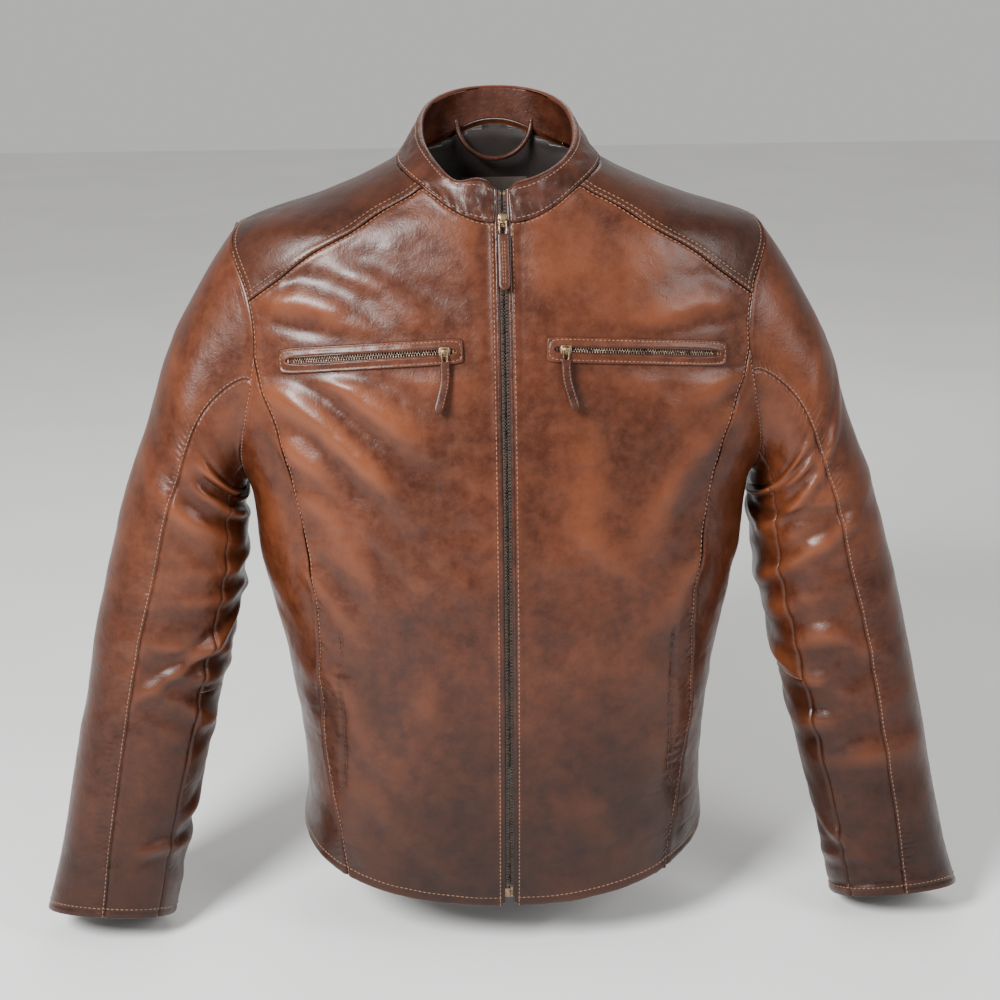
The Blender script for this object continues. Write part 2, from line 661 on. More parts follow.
def leather(name, dark, middle, light, rough=(0.28, 0.45), grain=0.22, crease=0.26):
    """Waxed, hand-rubbed leather: mottled colour, rubbed ridges, dark hollows, pebbles and fine creases."""
    material, shader, node, to_shader, at = new_material(name)
    cloud = node("ShaderNodeTexNoise", {"Vector": at, "Scale": 10.0, "Detail": 8.0, "Roughness": 0.66})
    patch = node("ShaderNodeTexNoise", {"Vector": at, "Scale": 75.0, "Detail": 5.0, "Roughness": 0.7})
    base = ramp(node, cloud.outputs["Fac"], [(0.28, dark), (0.50, middle), (0.76, light)])
    fine = ramp(node, patch.outputs["Fac"], [(0.36, tuple(0.55 * c for c in middle)), (0.62, light)])
    colour = mixed(node, "MIX", 0.38, base, fine)
    worn = node("ShaderNodeAttribute", attribute_name="worn").outputs["Fac"]
    lift = node("ShaderNodeMapRange", {"Value": worn, "From Min": 0.5, "From Max": 1.0})
    colour = mixed(node, "MIX", lift.outputs[0], colour, (*[min(1.0, 1.35 * c) for c in light], 1))
    hollow = node("ShaderNodeMapRange", {"Value": worn, "From Min": 0.5, "From Max": 0.0, "To Max": 0.45})
    colour = mixed(node, "MIX", hollow.outputs[0], colour, (*[0.6 * c for c in dark], 1))
    height = node("ShaderNodeSeparateXYZ", {"Vector": at}).outputs["Z"]
    drift = node("ShaderNodeMath", {0: cloud.outputs["Fac"], 1: 0.16, 2: height}, operation="MULTIPLY_ADD")
    level = node("ShaderNodeMapRange", {"Value": drift.outputs[0],
                                        "From Min": BURNISH_LOW, "From Max": BURNISH_HIGH})
    burnish = ramp(node, level.outputs[0], [(0.0, (0.34,) * 3), (0.45, (0.62,) * 3), (1.0, (1.0,) * 3)])
    to_shader("Base Color", mixed(node, "MULTIPLY", 1.0, colour, burnish))
    gloss = node("ShaderNodeMapRange", {"Value": patch.outputs["Fac"], "From Min": 0.3, "From Max": 0.7,
                                        "To Min": rough[0], "To Max": rough[1]})
    to_shader("Roughness", gloss.outputs[0])
    pebbles = node("ShaderNodeTexVoronoi", {"Vector": at, "Scale": 780.0, "Randomness": 1.0},
                   feature="SMOOTH_F1")
    wrinkle = node("ShaderNodeTexNoise", {"Vector": at, "Scale": 210.0, "Detail": 4.0, "Distortion": 0.8})
    first = node("ShaderNodeBump", {"Height": pebbles.outputs["Distance"], "Strength": grain,
                                    "Distance": 0.0003})
    second = node("ShaderNodeBump", {"Height": wrinkle.outputs["Fac"], "Strength": crease, "Distance": 0.0011,
                                     "Normal": first.outputs["Normal"]})
    to_shader("Normal", second.outputs["Normal"])
    shader.inputs["Specular IOR Level"].default_value = 0.26
    shader.inputs["Coat Weight"].default_value = 0.12
    shader.inputs["Coat Roughness"].default_value = 0.26
    return material


def woven(name, colour, rough, threads, sheen=0.2):
    """Plain weave: two crossed sets of threads."""
    material, shader, node, to_shader, at = new_material(name)
    waves = []
    for axis in ("X", "Z"):
        waves.append(node("ShaderNodeTexWave", {"Vector": at, "Scale": threads, "Distortion": 0.6,
                                                "Detail": 1.0}, bands_direction=axis).outputs["Fac"])
    both = node("ShaderNodeMath", {0: waves[0], 1: waves[1]}, operation="ADD").outputs[0]
    shade = node("ShaderNodeTexNoise", {"Vector": at, "Scale": 40.0, "Detail": 5.0})
    tint = ramp(node, shade.outputs["Fac"], [(at_fac, tuple(k * c for c in colour))
                                             for at_fac, k in ((0.3, 0.6), (0.7, 1.5))])
    to_shader("Base Color", tint)
    bump = node("ShaderNodeBump", {"Height": both, "Strength": 0.3, "Distance": 0.0002})
    to_shader("Normal", bump.outputs["Normal"])
    shader.inputs["Roughness"].default_value = rough
    shader.inputs["Sheen Weight"].default_value = sheen
    return material


def brass(name, bright=(0.32, 0.215, 0.125), dark=(0.050, 0.032, 0.020)):
    """Antique brass: tarnished, with rubbed bright patches."""
    material, shader, node, to_shader, at = new_material(name)
    stain = node("ShaderNodeTexNoise", {"Vector": at, "Scale": 260.0, "Detail": 6.0, "Roughness": 0.7})
    to_shader("Base Color", ramp(node, stain.outputs["Fac"], [(0.35, dark), (0.58, bright)]))
    gloss = node("ShaderNodeMapRange", {"Value": stain.outputs["Fac"], "To Min": 0.52, "To Max": 0.24})
    to_shader("Roughness", gloss.outputs[0])
    bump = node("ShaderNodeBump", {"Height": stain.outputs["Fac"], "Strength": 0.2, "Distance": 0.0002})
    to_shader("Normal", bump.outputs["Normal"])
    shader.inputs["Metallic"].default_value = 1.0
    return material


COGNAC = leather("cognac_leather", (0.0230, 0.0048, 0.0016), (0.0540, 0.0120, 0.0038),
                 (0.1080, 0.0300, 0.0110))
YOKE = leather("yoke_leather", (0.0110, 0.0025, 0.0010), (0.0270, 0.0062, 0.0022), (0.0560, 0.0155, 0.0058))
COLLAR = leather("collar_leather", (0.0090, 0.0024, 0.0014), (0.0330, 0.0084, 0.0038),
                 (0.0760, 0.0220, 0.0100), rough=(0.27, 0.44), crease=0.4)
FACING = leather("facing_leather", (0.0110, 0.0030, 0.0018), (0.0320, 0.0085, 0.0040),
                 (0.0660, 0.0190, 0.0090))
PULL = leather("pull_leather", (0.0130, 0.0034, 0.0018), (0.0380, 0.0098, 0.0043), (0.0740, 0.0215, 0.0096),
               grain=0.2)
THREAD = woven("thread", (0.1650, 0.0720, 0.0350), 0.62, 900.0)
DARK_THREAD = woven("dark_thread", (0.0140, 0.0058, 0.0032), 0.6, 900.0)
LINING = woven("lining_fabric", (0.0120, 0.0072, 0.0058), 0.42, 420.0)
TAPE = woven("zip_tape", (0.020, 0.0095, 0.0070), 0.75, 520.0)
LABEL = woven("label_fabric", (0.0450, 0.0300, 0.0230), 0.8, 480.0)
BRASS = brass("antique_brass")
TEETH = brass("zip_teeth", (0.26, 0.190, 0.140), (0.024, 0.016, 0.012))
MAIN_TEETH = brass("main_zip_teeth", (0.060, 0.044, 0.030), (0.010, 0.008, 0.006))

# Finishes that share another finish's slot; any other slot has the name that its material was made with.
SHARED_SLOTS = {"yoke_leather": "cognac_leather", "collar_leather": "cognac_leather",
                "main_zip_teeth": "zip_teeth"}


def slot_of(material):
    asked = NAMES_ASKED[material.name]
    return SHARED_SLOTS.get(asked, asked)


# ---- Body panels ----
def seam_foot(points, back):
    """Where a seam line meets the hem."""
    line, _ = path(points)
    t = np.linspace(0, 1, 600)
    p = line(t)
    z = p[:, 1]
    angle = torso_angle(p[:, 0], torso_y(p[:, 0], z, back), z)
    k = int(np.argmin(np.abs(z - hem(angle))))
    return p[k, 0], z[k]


def arm_point(z, back=False):
    p = armhole(armhole_angle(z, back))
    return p[0], p[2]


SEAM_TOP_Z, YOKE_END_Z = -165.0, -121.0


def cut_seam(points, back):
    """A seam as (x, z) points from the hem up to the armhole."""
    foot = seam_foot(points, back)
    inside = [p for p in points if p[1] > foot[1] + 8]
    return [foot] + list(reversed(inside)) + [arm_point(SEAM_TOP_Z, back)]


def hem_points(x0, x1, back, count=15):
    """Hem as (x, z) points between two places."""
    out = []
    for x in np.linspace(x0, x1, count):
        z = HEM_SIDE
        for _ in range(20):
            z = float(hem(torso_angle(x, torso_y(x, z, back), z)))
        out.append((x, z))
    return out


def arm_points(a0, a1, count=13):
    p = armhole(np.linspace(a0, a1, count))
    return [(q[0], q[2]) for q in p]


def yoke_start():
    """x at which the front shoulder seam comes out from under the collar seam."""
    for x in np.linspace(60, 73, 131):
        z = -22 + (x - 60) / 13 * -9
        ring_y = ring(ring_angle(x, False), NECK_RING)[1]
        if torso_y(x, z, False) < ring_y:
            return x
    return 66.0


YOKE_X = yoke_start()


def ring_xz(a0, a1, count=11):
    return [(p[0], p[2]) for p in neck_points(a0, a1, count)]


def yoke_line(back):
    """Shoulder seam from the neck to the armhole."""
    x0 = 60.0 if back else YOKE_X
    start = ring_xz(ring_angle(x0, back), ring_angle(x0, back), 1)[0]
    inside = [p for p in YOKE_SEAM[1:-1] if p[0] > x0 + 4]
    return [start] + inside + [arm_point(YOKE_END_Z, back)]


def to_angle(points, back):
    p = np.array(points, float)
    y = torso_y(p[:, 0], p[:, 1], back)
    return [(float(torso_angle(q[0], yy, q[1])), q[1]) for q, yy in zip(p, y)]


def loop_angles(a0, a1, count=25):
    p = armhole(np.linspace(a0, a1, count))
    return [(float(torso_angle(*q)), q[2]) for q in p]


def front_base():
    foot = cut_seam(PRINCESS_SEAM, False)
    bottom = path(hem_points(FRONT_EDGE, foot[0][0], False))[0]
    neck = ring_xz(ring_angle(FRONT_EDGE, False), ring_angle(YOKE_X, False))
    top = chain(path(neck), path(yoke_line(False)))
    hem_z = hem_points(FRONT_EDGE, FRONT_EDGE, False, 1)[0][1]
    left = path([(FRONT_EDGE, hem_z), (FRONT_EDGE, neck[0][1])])[0]
    a0, a1 = armhole_angle(SEAM_TOP_Z), armhole_angle(YOKE_END_Z)
    right = chain(path(foot), path(arm_points(a0, a1, 5)))
    xz = coons(bottom, top, left, right, spaced(190), even(600, 1.5))
    return np.stack([xz[..., 0], torso_y(xz[..., 0], xz[..., 1], False), xz[..., 1]], -1)


def back_base():
    foot = cut_seam(BACK_SEAM, True)
    a0, a1 = armhole_angle(SEAM_TOP_Z, True), armhole_angle(YOKE_END_Z, True)
    side = chain(path(foot), path(arm_points(a0, a1, 5)))
    bottom = path(hem_points(foot[0][0], -foot[0][0], True, 25))[0]
    yoke = yoke_line(True)
    neck = ring_xz(ring_angle(60, True), 360 - ring_angle(60, True), 15)
    far_yoke = [(-x, z) for x, z in yoke]
    top = chain(path(list(reversed(yoke))), path(neck), path(far_yoke))

    def other(t):
        return side(t) * np.array([-1.0, 1.0])

    xz = coons(bottom, top, side, other, spaced(330), even(600, 1.5))
    return np.stack([xz[..., 0], torso_y(xz[..., 0], xz[..., 1], True), xz[..., 1]], -1)


def side_base():
    front, back = cut_seam(PRINCESS_SEAM, False), cut_seam(BACK_SEAM, True)
    left = path(to_angle(front, False))[0]
    right = path(to_angle(back, True))[0]
    a0, a1 = left(np.array([0.0]))[0, 0], right(np.array([0.0]))[0, 0]
    bottom = path([(a, float(hem(a))) for a in np.linspace(a0, a1, 15)])[0]
    top = path(loop_angles(armhole_angle(SEAM_TOP_Z), 360 - armhole_angle(SEAM_TOP_Z)))[0]
    az = coons(bottom, top, left, right, spaced(200), even(430, 1.5))
    return torso(az[..., 0], az[..., 1])


def yoke_base():
    left = path(list(reversed(to_angle(yoke_line(False), False))))[0]
    right = path(list(reversed(to_angle(yoke_line(True), True))))[0]
    top_arc = armhole_angle(YOKE_END_Z)
    bottom = path(loop_angles(top_arc, -top_arc))[0]
    ring_line = neck_points(ring_angle(YOKE_X, False), ring_angle(60, True), 15)
    top = path([(float(torso_angle(*q)), q[2]) for q in ring_line])[0]
    az = coons(bottom, top, left, right, spaced(150), spaced(160))
    return torso(az[..., 0], az[..., 1])


def worn_values(panel, count):
    """0 in hollows, 0.5 on plain leather, 1 on rubbed ridges."""
    value = 0.5 + 0.13 * np.clip(panel.height, -3.5, 3.5) + 0.1 * noise(panel.outer, 30, 20)
    out = np.full(count, 0.42)
    out[:value.size] = np.clip(value, 0, 1).ravel()
    return out


def make_panel(name, panel, material, body=BODY, thickness=LEATHER):
    """Finished panel, which takes the place of the CAD node with the same name."""
    verts, faces = thick_mesh(panel, thickness)
    mesh(name, verts, faces, material, body, slot_of(material), [name], worn_values(panel, len(verts)))


# ---- Stitches ----
STITCH_PITCH, STITCH_LENGTH, STITCH_RADIUS = 4.2, 3.1, 0.44
TOP_INSET, SEAM_INSET, HEM_INSET = 2.0, 2.2, 9.0    # distances of a row from the panel's border


def resample(points, pitch):
    run = np.concatenate([[0], np.cumsum(np.linalg.norm(np.diff(points, axis=0), axis=1))])
    count = max(2, int(run[-1] / pitch))
    return run, (np.arange(count) + 0.5) * run[-1] / count


def stitches(points, normals, pitch=STITCH_PITCH, length=STITCH_LENGTH, radius=STITCH_RADIUS):
    """Vertices and faces of a row of stitches along a line on a surface."""
    run, at = resample(points, pitch)
    ends = [np.stack([np.interp(at + k * length / 2, run, points[:, j]) for j in range(3)], -1)
            for k in (-1, 1)]
    up = np.stack([np.interp(at, run, normals[:, j]) for j in range(3)], -1)
    along = unit(ends[1] - ends[0])
    side = np.cross(along, up)
    verts = []
    sections, around = ((-0.5, 0.25), (-0.3, 0.95), (0.0, 1.1), (0.3, 0.95), (0.5, 0.25)), 6
    for where, fat in sections:
        middle = (ends[0] + ends[1]) / 2 + along * where * length - up * (1.2 * abs(where)**2 - 0.2)
        for k in range(around):
            a = 2 * math.pi * k / around
            verts.append(middle + radius * fat * (math.cos(a) * side + math.sin(a) * up))
    verts = np.stack(verts, 1)
    count = len(sections) * around
    faces = []
    for s in range(len(sections) - 1):
        for k in range(around):
            n = (k + 1) % around
            faces.append([s * around + k, s * around + n, (s + 1) * around + n, (s + 1) * around + k])
    faces = np.array(faces)
    all_faces = (faces[None] + (np.arange(len(at)) * count)[:, None, None]).reshape(-1, 4)
    return verts.reshape(-1, 3), all_faces


def stitch_piece(name, rows, body=BODY, thread=THREAD, **sizes):
    """rows is a list of (points, normals)."""
    verts, faces, offset = [], [], 0
    for points, normals in rows:
        v, f = stitches(points, normals, **sizes)
        verts.append(v)
        faces.append(f + offset)
        offset += len(v)
    return mesh(name, np.concatenate(verts), np.concatenate(faces), thread, body)


def border_rows(panel, **insets):
    """Rows of stitches along the named borders, each at its distance inside."""
    return [panel.border_line(border, inset) for border, inset in insets.items()]


SIDES = (("left", False), ("right", True))

for side, flip in SIDES:
    seed = 3 if flip else 1
    front = Panel(front_base(), body_relief, {"start": "edge", "end": "tuck", "low": "edge", "high": "seam"},
                  flip, seed)
    make_panel("front_panel_" + side, front, COGNAC)
    stitch_piece("front_stitches_" + side,
                 border_rows(front, start=TOP_INSET, end=SEAM_INSET, low=HEM_INSET, high=TOP_INSET))
    flank = Panel(side_base(), body_relief, {"start": "seam", "end": "seam", "low": "edge", "high": "seam"},
                  flip, seed + 10)
    make_panel("side_panel_" + side, flank, COGNAC)
    stitch_piece("side_stitches_" + side, border_rows(flank, low=HEM_INSET, high=SEAM_INSET))
    shoulder = Panel(yoke_base(), body_relief, {"start": "lap", "end": "lap", "low": "seam", "high": "seam"},
                     flip, seed + 20)
    make_panel("shoulder_yoke_" + side, shoulder, YOKE)
    stitch_piece("yoke_stitches_" + side, [shoulder.border_line(border, inset)
                                           for border in ("start", "end", "low")
                                           for inset in (TOP_INSET, 7.0)])

rear = Panel(back_base(), body_relief, {"start": "tuck", "end": "tuck", "low": "edge", "high": "seam"},
             False, 33)
make_panel("back_panel", rear, COGNAC)
stitch_piece("back_stitches",
             border_rows(rear, low=HEM_INSET, high=TOP_INSET, start=SEAM_INSET, end=SEAM_INSET))


# ---- Sleeves ----
# Where the sleeve starts and stops bending as it swings (x, z), in metres: armpit seam, then free sleeve.
BEND_START, BEND_END = (0.228, -0.2925), (0.2784, -0.3171)


def sleeve_body(side, flip):
    """Bends the sleeve from the armhole seam to where it hangs free."""
    s = -1 if flip else 1
    return (BODY, "sleeve_" + side, *((s * x, 0.0, z) for x, z in (BEND_START, BEND_END)))


def sleeve_panel(start, end, first, last, styles, flip, seed):
    stations = first + (last - first) * even((last - first) * 55, 1.6)
    us = spaced(150)
    grid_s = np.broadcast_to(stations[None], (len(us), len(stations)))
    angle = start(grid_s) + (end(grid_s) - start(grid_s)) * us[:, None]

    def relief(p):
        return sleeve_relief(angle, grid_s, p, -1 if flip else 1)

    return Panel(sleeve(angle, grid_s), relief, styles, flip, seed)


def constant(value):
    return lambda s: value + 0 * s


# Name, first and last seam, first and last station, and how the first, last and lower borders are sewn.
SLEEVE_PANELS = (
    ("top_sleeve", constant(BACK_SEAM_ANGLE - 360), front_seam, 0, CUFF, "seam", "tuck", "edge"),
    ("front_sleeve", front_seam, inner_seam, 0, CUFF, "seam", "seam", "edge"),
    ("under_sleeve_upper", inner_seam, constant(BACK_SEAM_ANGLE), 0, ELBOW, "seam", "seam", "seam"),
    ("under_sleeve_lower", inner_seam, constant(BACK_SEAM_ANGLE), ELBOW, CUFF, "seam", "seam", "edge"),
)

for side, flip in SIDES:
    carrier = sleeve_body(side, flip)
    for k, (part, start, end, first, last, one, two, foot) in enumerate(SLEEVE_PANELS):
        styles = {"start": one, "end": two, "low": "seam", "high": foot}
        cloth = sleeve_panel(start, end, first, last, styles, flip, 50 + 7 * k + (3 if flip else 0))
        make_panel(part + "_" + side, cloth, COGNAC, carrier)
        rows = [cloth.border_line("high", HEM_INSET if foot == "edge" else SEAM_INSET)]
        if part == "top_sleeve":
            rows += border_rows(cloth, end=SEAM_INSET, start=SEAM_INSET)
        stitch_piece(part + "_stitches_" + side, rows, carrier)


# ---- Collar: a stand with a rolled rim ----
COLLAR_OUT, COLLAR_IN, RIM_ROLL, BEAD_ROWS = 0.5, -4.2, 2.35, 9


def collar_point(angle, rise):
    x0, y0 = ring(angle, NECK_RING)
    x1, y1 = ring(angle, COLLAR_RIM)
    z0 = torso_top(x0, y0)
    back = (y1 + COLLAR_RIM[1]) / (COLLAR_RIM[1] + COLLAR_RIM[2])
    front = smooth((-y1 - 30) / 30)
    dip = front * bell(x1 + 41, 14)
    lobe = front * bell(x1 + 19, 11)
    corner = front * smooth((15 - np.abs(x1)) / 9)
    z1 = -24.0 + 66.0 * np.maximum(back, 0)**0.7 - 6.5 * dip + 2.5 * lobe - 4.5 * corner**2
    y1 = y1 - 5.0 * dip * rise + 1.5 * lobe * rise
    return np.stack([x0 + (x1 - x0) * rise, y0 + (y1 - y0) * rise, z0 + (z1 - z0) * rise], -1)


def collar_grid():
    first = ring_angle(FRONT_EDGE, False)
    angles = np.linspace(first, 360 - first, 300)
    rises = np.linspace(0, 1, 22)
    a, r = np.meshgrid(angles, rises, indexing="ij")
    p = collar_point(a, r)
    n = grid_normals(p)
    up = unit(np.gradient(p, axis=1))
    n *= np.sign((n * (p - np.array([0, RING_CENTRE_Y, 0]))).sum(-1, keepdims=True))
    crease = 0.9 * noise(p, (30, 30, 7), 70) + 0.5 * noise(p, (9, 9, 20), 71) + 0.35 * noise(p, 6, 72)
    pleat = np.cos(p[..., 0] * 1.0 + p[..., 1] * 0.8 + 2 * noise(p, 20, 73))
    crease = crease + 0.55 * pleat * np.exp(-r * 6)
    crease = crease * smooth((1.02 - r) / 0.2)
    outer = p + n * (COLLAR_OUT + crease)[..., None]
    top, top_n, top_up = p[:, -1], n[:, -1], up[:, -1]
    bead = [top + top_n * (-1.85 + RIM_ROLL * math.cos(t)) + top_up * (RIM_ROLL * math.sin(t) - 0.6)
            for t in np.linspace(0.15, math.pi - 0.15, BEAD_ROWS)]
    inner = (p + n * (COLLAR_IN - 0.3 * noise(p, 18, 74))[..., None])[:, ::-1]
    loop = np.concatenate([outer, np.stack(bead, 1), inner], axis=1)
    return loop, len(rises), outer, n


def collar_piece():
    loop, rows, outer, normals = collar_grid()
    nu, nv = loop.shape[:2]
    ids = np.arange(nu * nv).reshape(nu, nv)
    around = np.roll(ids, -1, axis=1)
    quads = np.stack([ids[:-1], ids[1:], around[1:], around[:-1]], -1).reshape(-1, 4)
    caps = []
    for row, turn in ((ids[0], 1), (ids[-1], -1)):
        for k in range((nv - 1) // 2):
            quad = [row[k], row[k + 1], row[nv - 2 - k], row[nv - 1 - k]]
            if len(set(quad)) == 4:
                caps.append(quad[::turn])
    faces = np.concatenate([quads, np.array(caps)])
    worn = np.full((nu, nv), 0.45) + 0.16 * noise(loop, 16, 75)
    worn[:, rows:rows + BEAD_ROWS] = 0.72
    mesh("collar", loop.reshape(-1, 3), faces, COLLAR, BODY, slot_of(COLLAR),
         ["collar_outer", "collar_inner"], np.clip(worn, 0, 1).ravel())
    stitch_piece("collar_stitches", [(outer[3:-3, k] + normals[3:-3, k] * 0.1, normals[3:-3, k])
                                     for k in (2, rows - 4)])


collar_piece()


# ---- Inside: linings, facings, pocket bags, loop and label ----
def wrap_panel(a0, a1, low, high, depth, wrinkle, seed, flip=False):
    angles = np.linspace(a0, a1, max(8, int(abs(a1 - a0) * 0.9)))
    rises = np.linspace(low, high, max(5, int((high - low) * 150)))
    a, r = np.meshgrid(angles, rises, indexing="ij")
    z = hem(a) + (16.0 - hem(a)) * r
    base = torso(a, z)

    def relief(p):
        return wrinkle * (noise(p, (50, 50, 18), seed) + 0.4 * noise(p, 15, seed + 1))

    return Panel(base, relief, {}, flip, seed, depth)


LINING_DEPTH, LINING_THICKNESS = 6.4, 0.8
FACING_DEPTH, FACING_THICKNESS = 2.3, 1.0
FACING_ANGLE = 14           # the zip facing ends here and the lining starts, in degrees round the torso
LINING_LOW, FACING_LOW = 0.055, 0.004       # shares of the height from the hem to the neck
UNDER_SEAM = 5.0


def inside_neck(panel):
    """Pulls the top of an inner panel down so that it stays under the collar seam."""
    half, front, back, power = NECK_RING
    p = panel.outer
    reach = np.where(p[..., 1] < RING_CENTRE_Y, front + RING_CENTRE_Y, back - RING_CENTRE_Y)
    level = (np.abs(p[..., 0]) / half)**power + (np.abs(p[..., 1] - RING_CENTRE_Y) / reach)**power
    grow = np.where(level < 1, np.maximum(level, 1e-3)**(-1 / power), 1.0)
    p[..., 0] *= grow
    p[..., 1] = RING_CENTRE_Y + (p[..., 1] - RING_CENTRE_Y) * grow
    ceiling = torso_top(p[..., 0], p[..., 1]) - UNDER_SEAM
    p[..., 2] = np.where(p[..., 2] > -90, np.minimum(p[..., 2], ceiling), p[..., 2])
    return panel


for side, flip in SIDES:
    inner = inside_neck(wrap_panel(FACING_ANGLE, 89.7, LINING_LOW, 0.95, LINING_DEPTH, 0.9, 80, flip))
    make_panel("front_lining_" + side, inner, LINING, thickness=LINING_THICKNESS)
    strip = inside_neck(wrap_panel(2.0, FACING_ANGLE, FACING_LOW, 0.93, FACING_DEPTH, 0.2, 82, flip))
    make_panel("zip_facing_" + side, strip, FACING, thickness=FACING_THICKNESS)
    carrier = sleeve_body(side, flip)
    for part, first, last, depth, material, thick in (
            ("sleeve_lining", 0.15, 11.0, 3.6, LINING, LINING_THICKNESS),
            ("cuff_facing", 11.05, 11.96, 1.7, FACING, 0.9)):
        angles = np.linspace(BACK_SEAM_ANGLE - 359.5, BACK_SEAM_ANGLE - 0.5, 120)
        stations = np.linspace(first, last, max(8, int((last - first) * 12)))
        a, s = np.meshgrid(angles, stations, indexing="ij")
        tube = Panel(sleeve(a, s), lambda p: 0.4 * noise(p, 25, 84), {}, flip, 85, depth)
        make_panel(part + "_" + side, tube, material, carrier, thick)
    for part, x0, x1, z0, z1 in (("chest_pocket_bag", 44, 182, -285, -150),
                                 ("hand_pocket_bag", 62, 163, -600, -400)):
        x, z = np.meshgrid(np.linspace(x0, x1, 30), np.linspace(z0, z1, 30), indexing="ij")
        base = np.stack([x, torso_y(x, z, False), z], -1)
        bag = Panel(base, lambda p: 0.3 * noise(p, 30, 86), {}, flip, 87, 4.4)
        make_panel(part + "_" + side, bag, LINING, thickness=0.9)

rear_lining = inside_neck(wrap_panel(90.3, 269.7, LINING_LOW, 1.0, LINING_DEPTH, 0.9, 88))
make_panel("back_lining", rear_lining, LINING, thickness=LINING_THICKNESS)
band = wrap_panel(13, 347, FACING_LOW, 0.052, FACING_DEPTH, 0.25, 90)
make_panel("hem_facing", band, FACING, thickness=FACING_THICKNESS)


# ---- Hardware kit: rounded blocks, rods and straps gathered into one piece ----
class Kit:
    def __init__(self):
        self.verts, self.faces, self.count = [], [], 0

    def add(self, verts, faces):
        self.verts.append(np.asarray(verts, float))
        self.faces.append(np.asarray(faces) + self.count)
        self.count += len(verts)

    def block(self, low, high, power=7.0, steps=7):
        """Box with softly rounded edges."""
        low, high = np.array(low, float), np.array(high, float)
        t = np.sin(np.linspace(-math.pi / 2, math.pi / 2, steps))
        a, b = np.meshgrid(t, t, indexing="ij")
        for axis in range(3):
            for sign in (-1.0, 1.0):
                p = np.zeros((steps, steps, 3))
                p[..., axis] = sign
                p[..., (axis + 1) % 3] = a
                p[..., (axis + 2) % 3] = b * sign
                p = p / (np.abs(p)**power).sum(-1, keepdims=True)**(1 / power)
                self.grid((low + high) / 2 + p * (high - low) / 2)

    def grid(self, p):
        nu, nv = p.shape[:2]
        ids = np.arange(nu * nv).reshape(nu, nv)
        faces = np.stack([ids[:-1, :-1], ids[1:, :-1], ids[1:, 1:], ids[:-1, 1:]], -1).reshape(-1, 4)
        self.add(p.reshape(-1, 3), faces)

    def rod(self, points, radius, closed=False, around=10):
        """Round rod through points."""
        p = np.array(points, float)
        ahead = np.roll(p, -1, 0) - np.roll(p, 1, 0)
        if not closed:
            ahead[0], ahead[-1] = p[1] - p[0], p[-1] - p[-2]
        ahead = unit(ahead)
        one = unit(np.cross(ahead, np.array([0.31, 0.9, 0.17])))    # any direction that the rods don't run in
        two = np.cross(ahead, one)
        t = np.linspace(0, 2 * math.pi, around + 1)[None, :, None]
        tube = p[:, None] + radius * (np.cos(t) * one[:, None] + np.sin(t) * two[:, None])
        if closed:
            tube = np.concatenate([tube, tube[:1]], 0)
        else:
            first, last = (np.repeat(end[None, None], around + 1, 1) for end in (p[0], p[-1]))
            tube = np.concatenate([first, tube, last], 0)
        self.grid(tube)

    def piece(self, name, material, place=None, body=BODY, slot=None, replaces=()):
        verts = np.concatenate(self.verts)
        verts = place(verts) if place else verts
        mesh(name, verts, np.concatenate(self.faces), material, body, slot, replaces)

    def stand_in(self, name, material, place=None, body=BODY):
        """Piece that takes the place of the CAD node with the same name."""
        self.piece(name, material, place, body, slot_of(material), [name])


def at_front_arc(z):
    """Placement of the track frame (z along the track, y inwards) at height z of the front closure."""
    angle = arc_angle(z)
    y = FRONT_ARC_Y - FRONT_RADIUS * math.cos(angle)
    c, s = math.cos(-angle), math.sin(-angle)

    def place(p):
        return np.stack([p[:, 0], y + c * p[:, 1] - s * p[:, 2], z + s * p[:, 1] + c * p[:, 2]], -1)

    return place


def arc_angle(z):
    return math.asin((z - FRONT_ARC_Z) / FRONT_RADIUS)


def arc_height(angle):
    return FRONT_ARC_Z + FRONT_RADIUS * math.sin(angle)


def on_arc(x, angle, depth):
    """Points at x, at an angle along the closure's arc and a depth inside it."""
    r = FRONT_RADIUS - depth
    return np.stack([x, FRONT_ARC_Y - r * np.cos(angle), FRONT_ARC_Z + r * np.sin(angle)], -1)


def tooth_mesh(side, depth):
    """One zip tooth: a leg clamped on the tape edge and a hooked head at the centre line."""
    kit = Kit()
    span = sorted((side * 0.9, side * CHAIN_HALF))
    kit.block((span[0], depth - 1.15, -0.62), (span[1], depth + 1.15, 0.62), steps=4)
    head = sorted((side * -0.45, side * 1.25))
    kit.block((head[0], depth - 1.3, -0.58), (head[1], depth + 1.3, 0.58), power=4, steps=5)
    return np.concatenate(kit.verts), np.concatenate(kit.faces)


def main_zip():
    start, end = arc_angle(ZIP_BOTTOM_Z + 14), arc_angle(ZIP_TOP_Z - 6)
    count = int(FRONT_RADIUS * (end - start) / TOOTH_PITCH)
    for side, sign, shift in (("left", 1, 0.0), ("right", -1, 0.5)):
        verts, faces = tooth_mesh(sign, MAIN_CHAIN_DEPTH)
        kit = Kit()
        for i in range(count):
            kit.add(at_front_arc(arc_height(start + (i + shift) * TOOTH_PITCH / FRONT_RADIUS))(verts), faces)
        kit.stand_in("main_zip_teeth_" + side, MAIN_TEETH)
        angles = np.linspace(arc_angle(ZIP_BOTTOM_Z), arc_angle(ZIP_TOP_Z), 260)
        xs = np.concatenate([[1.0, 1.6, 2.2], np.linspace(2.9, 14.9, 12)])
        a, x = np.meshgrid(angles, xs, indexing="ij")
        base = on_arc(x, a, MAIN_CHAIN_DEPTH - 0.12 * np.sin(a * 900))[::-1, ::-1]
        tape = Panel(base, None, {}, sign < 0, 95)
        make_panel("main_zip_tape_" + side, tape, TAPE, thickness=0.7)


main_zip()


